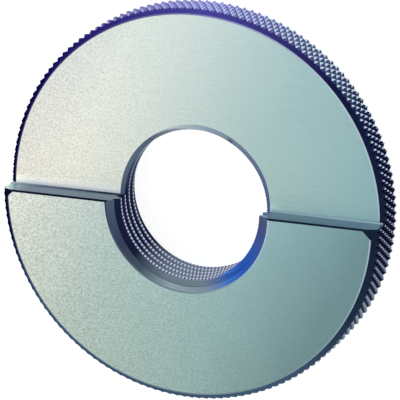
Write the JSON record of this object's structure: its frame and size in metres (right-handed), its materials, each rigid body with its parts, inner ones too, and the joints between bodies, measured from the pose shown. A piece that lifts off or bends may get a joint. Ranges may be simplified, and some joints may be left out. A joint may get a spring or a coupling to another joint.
{
  "type": "thread ring gauge",
  "caption": "Solid knurled steel ring gauge with a right-hand taper pipe thread through it and a stepped face for checking the length of an external thread.",
  "frame": {"origin": "centre of the threaded bore on the plain back face, which is the gauge plane of the thread and the face that the ring rests on", "axes": "+Z along the bore axis, up through the stepped face, and +X along the step, with the proud half of the face at negative Y"},
  "size_m": [0.0804, 0.0804, 0.0127],
  "materials": {
    "gauge_steel": "fine-ground faces, dark oxide in the knurl and on the chamfers"
  },
  "bodies": {
    "root": {"gauge_ring": "gauge_steel"}
  },
  "joints": []
}
